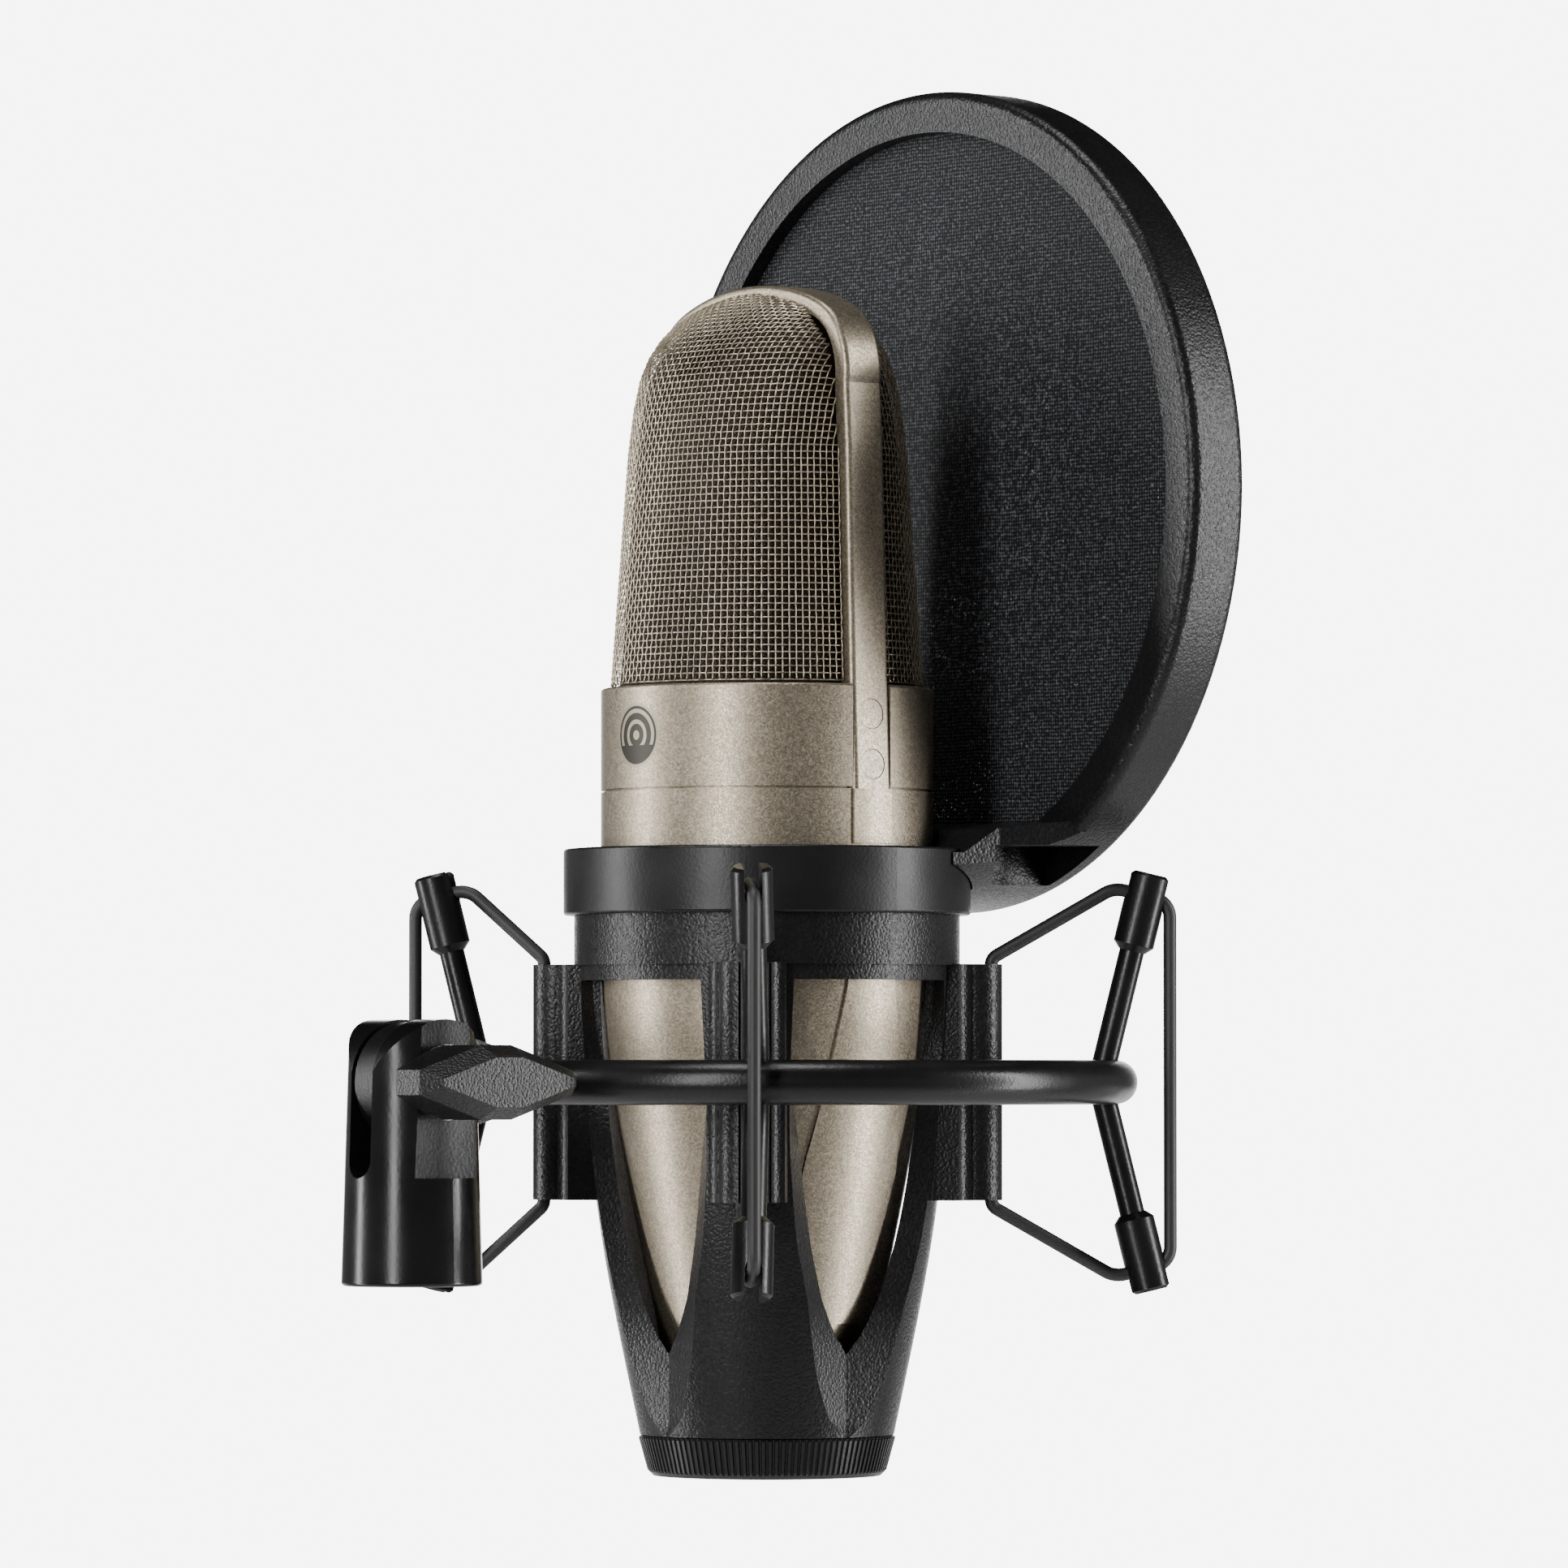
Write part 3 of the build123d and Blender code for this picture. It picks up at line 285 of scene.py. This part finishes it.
def plastic(name, colour, roughness):
    t = Tree(name)
    cloud = t.noise(0.003, 3)
    tone = t.ramp(cloud, [(0.35, [c * 0.85 for c in colour]), (0.7, [min(c * 1.12, 1) for c in colour])])
    rough = t.span(cloud, roughness, roughness + 0.1)
    return t.set(Base_Color=tone, Roughness=rough, Normal=t.bump(t.noise(0.0003, 1), 0.00002, 0.4))


def filter_fabric():
    """Dark knitted screen; pinholes between its threads let some light through, and bright specks of light
    coming through are painted into its colour.
    """
    t = Tree("filter_fabric")
    t.material.blend_method = "HASHED"
    x, y, z = t.axes()
    wobble = t.math("MULTIPLY", t.math("SUBTRACT", t.noise(0.006, 2), 0.5), 0.0006)
    pitch = 2 * math.pi / 0.00058
    across = t.math("SINE", t.math("MULTIPLY", t.math("ADD", x, wobble), pitch))
    up = t.math("SINE", t.math("MULTIPLY", t.math("ADD", z, wobble), pitch))
    loops = t.math("MULTIPLY", across, up)
    chance = t.noise(0.00055, 2, 0.6)
    open_spot = t.math("MULTIPLY", t.span(loops, 0, 1, 0.25, 0.8), t.span(chance, 0, 1, 0.52, 0.7))
    thread = t.math("ADD", t.math("MULTIPLY", across, 0.5), t.math("MULTIPLY", up, 0.5))
    # Bright specks in the colour are painted light coming through the cloth, placed where the threads cross.
    painted_light_speck = t.math("ADD", t.span(thread, 0, 0.5, -1, 1), t.span(chance, 0, 0.5, 0.3, 0.7))
    tone = t.ramp(painted_light_speck, [(0.5, (0.003, 0.0035, 0.004)), (0.9, (0.10, 0.105, 0.115))])
    alpha = t.math("SUBTRACT", 1.0, t.math("MULTIPLY", open_spot, 0.45))
    normal = t.bump(thread, 0.00008, 0.6)
    return t.set(Base_Color=tone, Roughness=0.7, Alpha=alpha, Normal=normal, Specular_IOR_Level=0.2)


looks = {
    "textured_black_plastic": textured_plastic(),
    "satin_black_plastic": satin_black("satin_black_plastic", 0.36, 0.005),
    "satin_black_metal": satin_black("satin_black_metal", 0.30, 0.005),
    "gloss_black_metal": satin_black("gloss_black_metal", 0.22, 0.004, 0.00003),
    "champagne_paint": champagne_paint(),
    "champagne_mesh": drawn_wire(),
    "fine_mesh": fine_screen(),
    "badge_print": badge_print(),
    "black_elastic": rubber("black_elastic", 0.008),
    "black_rubber": rubber("black_rubber", 0.006),
    "brass": metal("brass", (0.62, 0.44, 0.17), 0.3),
    "zinc_steel": metal("zinc_steel", (0.52, 0.52, 0.53), 0.34),
    "silver_contact": metal("silver_contact", (0.80, 0.79, 0.76), 0.2),
    "gold_film": metal("gold_film", (0.83, 0.62, 0.25), 0.15, (3000, 3000, 3000)),
    "nylon": plastic("nylon", (0.62, 0.60, 0.55), 0.45),
    "capsule_plastic": plastic("capsule_plastic", (0.030, 0.030, 0.033), 0.4),
    "circuit_green": plastic("circuit_green", (0.012, 0.10, 0.045), 0.3),
    "component_mix": plastic("component_mix", (0.045, 0.05, 0.08), 0.35),
    "filter_fabric": filter_fabric(),
}

for part in frame["record"]["subparts"]:
    node = frame["nodes"][part["node"]]
    if not node.material_slots:
        node.data.materials.append(None)
    for place in node.material_slots:
        place.material = looks[part["material_slot"]]


# --- Pieces ---
def piece(name, vertices, faces, look, smooth=True):
    mesh = bpy.data.meshes.new(name)
    mesh.from_pydata([tuple(v) for v in vertices], [], faces)
    mesh.update()
    mesh.materials.append(looks[look])
    mesh.polygons.foreach_set("use_smooth", [smooth] * len(mesh.polygons))
    made = bpy.data.objects.new(name, mesh)
    bpy.context.collection.objects.link(made)
    return made


# --- Woven grille ---
WIRE_PITCH = 1.09 * MM
WIRE_RADIUS = 0.12 * MM
WIRE_SIDES = 4
SHOULDER_Z = ring_z + 100 * MM
SIDE_EDGE_DEG = 80
TOWER_STEPS = 60


def surface_of(node):
    """Function that gives the outermost point and normal of a node's skin along a direction."""
    source = frame["nodes"][node]
    corners = [vertex.co for vertex in source.data.vertices]
    tree = BVHTree.FromPolygons(corners, [face.vertices for face in source.data.polygons])
    reach = 80 * MM

    def find(centre, direction):
        spot, normal, _, _ = tree.ray_cast(centre + direction * reach, -direction, reach)
        if spot is None:
            return None
        return spot, normal if normal.dot(direction) > 0 else -normal

    return find


def wire_course(find, side, angle):
    """Points up one standing wire: round the tower at a fixed angle, then over the dome at a fixed X."""
    course = []
    outward = Vector((math.sin(angle), side * math.cos(angle), 0))
    for step in range(TOWER_STEPS):
        height = grille_base_z + (SHOULDER_Z - grille_base_z) * step / TOWER_STEPS
        hit = find(Vector((axis_x, axis_y, height)), outward)
        if hit:
            course.append(hit)
    if not course:
        return course
    fixed_x = course[-1][0].x
    for step in range(91):
        rise = math.radians(step)
        hit = find(Vector((fixed_x, axis_y, SHOULDER_Z)), Vector((0, side * math.cos(rise), math.sin(rise))))
        if hit is None or side * (hit[0].y - axis_y) < strap_half + 0.1 * MM:
            break
        course.append(hit)
    return course


def spaced(course, pitch):
    """Course resampled at equal distances."""
    points, passed, target = [], 0.0, pitch / 2
    for (a, na), (b, nb) in zip(course, course[1:]):
        length = (b - a).length
        while length and target <= passed + length:
            share = (target - passed) / length
            points.append((a.lerp(b, share), na.lerp(nb, share).normalized()))
            target += pitch
        passed += length
    return points


def add_tube(vertices, faces, line, radius):
    """Closed-ended round wire along a list of (point, normal)."""
    start = len(vertices)
    for index, (point, normal) in enumerate(line):
        ahead = line[min(index + 1, len(line) - 1)][0] - line[max(index - 1, 0)][0]
        across = ahead.cross(normal).normalized()
        upward = across.cross(ahead).normalized()
        for corner in range(WIRE_SIDES):
            turn = 2 * math.pi * corner / WIRE_SIDES
            vertices.append(point + (across * math.cos(turn) + upward * math.sin(turn)) * radius)
    for ring in range(len(line) - 1):
        base = start + ring * WIRE_SIDES
        for corner in range(WIRE_SIDES):
            after = (corner + 1) % WIRE_SIDES
            above = base + WIRE_SIDES
            faces.append((base + corner, base + after, above + after, above + corner))
    faces.append(tuple(range(start + WIRE_SIDES - 1, start - 1, -1)))
    faces.append(tuple(range(len(vertices) - WIRE_SIDES, len(vertices))))


def woven(crossings, parity):
    """Line through crossings that passes over and under by turns, with a point between each pair."""
    lift = WIRE_RADIUS * 0.95
    line = []
    for index, (point, normal) in enumerate(crossings):
        sign = 1 if (index + parity) % 2 else -1
        line.append((point + normal * (lift * sign - lift * 1.2), normal))
        if index + 1 < len(crossings):
            after, after_normal = crossings[index + 1]
            blend = (normal + after_normal).normalized()
            line.append(((point + after) / 2 - blend * lift * 1.2, blend))
    return line


def weave_grille(name, node, side):
    find = surface_of(node)
    half_angle = math.radians(SIDE_EDGE_DEG)
    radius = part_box(node)[1][0] - axis_x
    count = int(2 * half_angle * radius / WIRE_PITCH)
    courses = []
    for index in range(count + 1):
        angle = -half_angle + 2 * half_angle * index / count
        courses.append(spaced(wire_course(find, side, angle), WIRE_PITCH))
    vertices, faces = [], []
    for index, course in enumerate(courses):
        if len(course) > 2:
            add_tube(vertices, faces, woven(course, index), WIRE_RADIUS)
    for row in range(max(len(course) for course in courses)):
        run = []
        for index, course in enumerate(courses + [[]]):
            if row < len(course):
                run.append((index, course[row]))
                continue
            if len(run) > 2:
                add_tube(vertices, faces, woven([c for _, c in run], run[0][0] + row + 1), WIRE_RADIUS)
            run = []
    made = piece(name, vertices, faces, "champagne_mesh")
    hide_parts(node)
    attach(made, "microphone_cradle")


weave_grille("grille_weave_front", "grille_front", -1)
weave_grille("grille_weave_rear", "grille_rear", 1)


# --- Pop filter fabric ---
def stretched_fabric(name, node, bow):
    """Thin round cloth with a flat lower edge, bowed a little at its middle."""
    low, high = (Vector(corner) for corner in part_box(node))
    radius = (high.x - low.x) / 2
    centre = Vector(((low.x + high.x) / 2, (low.y + high.y) / 2, high.z - radius))
    floor = low.z
    shape = bmesh.new()
    bmesh.ops.create_grid(shape, x_segments=96, y_segments=96, size=radius)
    for vertex in shape.verts:
        flat = Vector((vertex.co.x, vertex.co.y)) / radius
        squircle = Vector((flat.x * math.sqrt(1 - flat.y ** 2 / 2), flat.y * math.sqrt(1 - flat.x ** 2 / 2)))
        height = max(centre.z + squircle.y * radius, floor)
        sag = bow * (1 - min(squircle.length, 1) ** 2)
        vertex.co = Vector((centre.x + squircle.x * radius, centre.y + sag, height))
    bmesh.ops.remove_doubles(shape, verts=shape.verts, dist=0.02 * MM)
    bmesh.ops.dissolve_degenerate(shape, edges=shape.edges, dist=0.02 * MM)
    mesh = bpy.data.meshes.new(name)
    shape.to_mesh(mesh)
    area = sum(face.calc_area() for face in shape.faces)
    shape.free()
    mesh.materials.append(looks["filter_fabric"])
    mesh.polygons.foreach_set("use_smooth", [True] * len(mesh.polygons))
    cloth = bpy.data.objects.new(name, mesh)
    bpy.context.collection.objects.link(cloth)
    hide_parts(node)
    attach(cloth, "pop_filter")
    flat = (2 * radius, high.z - floor)


stretched_fabric("fabric_sheet_near", "fabric_near", -0.35 * MM)
stretched_fabric("fabric_sheet_far", "fabric_far", 0.35 * MM)


# --- Elastic bands ---
def stretching_band(index):
    """Copy of the CAD elastic band, whose loop runs from the ring's posts to the cradle's clip."""
    node = f"elastic_band_{index}"
    source = frame["nodes"][node]
    band = bpy.data.objects.new(f"elastic_cord_{index}", source.data.copy())
    bpy.context.collection.objects.link(band)
    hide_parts(node)
    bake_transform(band)


for band_index in range(1, 5):
    stretching_band(band_index)


# --- Floor, lights and camera ---
CAMERA_AZIMUTH = 51
CAMERA_PITCH = 1.9
CAMERA_DISTANCE = 1.4
CAMERA_SIDE = 2.7 * MM
CAMERA_LIFT = 1.0 * MM

azimuth = math.radians(CAMERA_AZIMUTH)
forward = Vector((-math.sin(azimuth), math.cos(azimuth), 0))
right = Vector((math.cos(azimuth), math.sin(azimuth), 0))
subject = Vector((axis_x, axis_y, ring_z))


def add_camera():
    data = bpy.data.cameras.new("camera")
    data.lens = 202
    data.sensor_width = 36
    data.clip_end = 20
    camera = bpy.data.objects.new("camera", data)
    bpy.context.collection.objects.link(camera)
    camera.location = subject - forward * CAMERA_DISTANCE + right * CAMERA_SIDE + Vector((0, 0, CAMERA_LIFT))
    camera.rotation_euler = (math.radians(90 + CAMERA_PITCH), 0, azimuth)
    bpy.context.scene.camera = camera


def add_floor():
    bpy.ops.mesh.primitive_plane_add(size=12, location=(axis_x, axis_y, cad_box[0][2] - 0.6))
    floor = bpy.context.object
    floor.name = "floor"
    t = Tree("pale_floor")
    tone = t.ramp(t.noise(0.4, 2), [(0.3, (0.86, 0.86, 0.86)), (0.7, (0.90, 0.90, 0.90))])
    floor.data.materials.append(t.set(Base_Color=tone, Roughness=0.7))


def add_panel(name, place, width, height, power, aim=subject):
    """Soft rectangular light, placed right, back and up from the microphone."""
    data = bpy.data.lights.new(name, "AREA")
    data.shape = "RECTANGLE"
    data.size, data.size_y = width, height
    data.energy = power
    lamp = bpy.data.objects.new(name, data)
    bpy.context.collection.objects.link(lamp)
    lamp.location = subject + right * place[0] + forward * place[1] + Vector((0, 0, place[2]))
    lamp.rotation_euler = (lamp.location - (aim + Vector((0, 0, 0.04)))).to_track_quat("Z", "Y").to_euler()


def add_world():
    """Studio with a bright band round the horizon, dim above and half dim on the camera's side."""
    world = bpy.data.worlds.new("studio")
    world.use_nodes = True
    nodes, links = world.node_tree.nodes, world.node_tree.links
    place = nodes.new("ShaderNodeTexCoord").outputs["Generated"]

    def facing(direction, numbers):
        """Strength mapped from how far a direction points along the one given."""
        dot = nodes.new("ShaderNodeVectorMath")
        dot.operation = "DOT_PRODUCT"
        dot.inputs[1].default_value = direction
        links.new(place, dot.inputs[0])
        span = nodes.new("ShaderNodeMapRange")
        for socket, number in zip(list(span.inputs)[1:5], numbers):
            socket.default_value = number
        links.new(dot.outputs["Value"], span.inputs[0])
        return span.outputs[0]

    product = nodes.new("ShaderNodeMath")
    product.operation = "MULTIPLY"
    links.new(facing((0, 0, 1), (0.16, 0.34, 7.0, 0.10)), product.inputs[0])
    links.new(facing(forward, (0.955, 0.985, 0.035, 1.0)), product.inputs[1])
    links.new(product.outputs[0], nodes["Background"].inputs["Strength"])
    nodes["Background"].inputs["Color"].default_value = (1, 1, 1, 1)
    bpy.context.scene.world = world


add_camera()
add_floor()
add_world()
add_panel("key_left", (-0.55, -0.95, 0.30), 0.20, 1.0, 13)
add_panel("side_right", (1.1, -0.15, 0.10), 0.12, 1.3, 22)
add_panel("edge_left", (-1.1, 0.05, 0.10), 0.12, 1.3, 16)
add_panel("top", (-0.1, -0.1, 1.2), 0.5, 0.5, 8)
add_panel("floor_wash", (0.0, 3.4, 1.6), 3.0, 1.5, 260, subject + forward * 4.5 - Vector((0, 0, 0.6)))
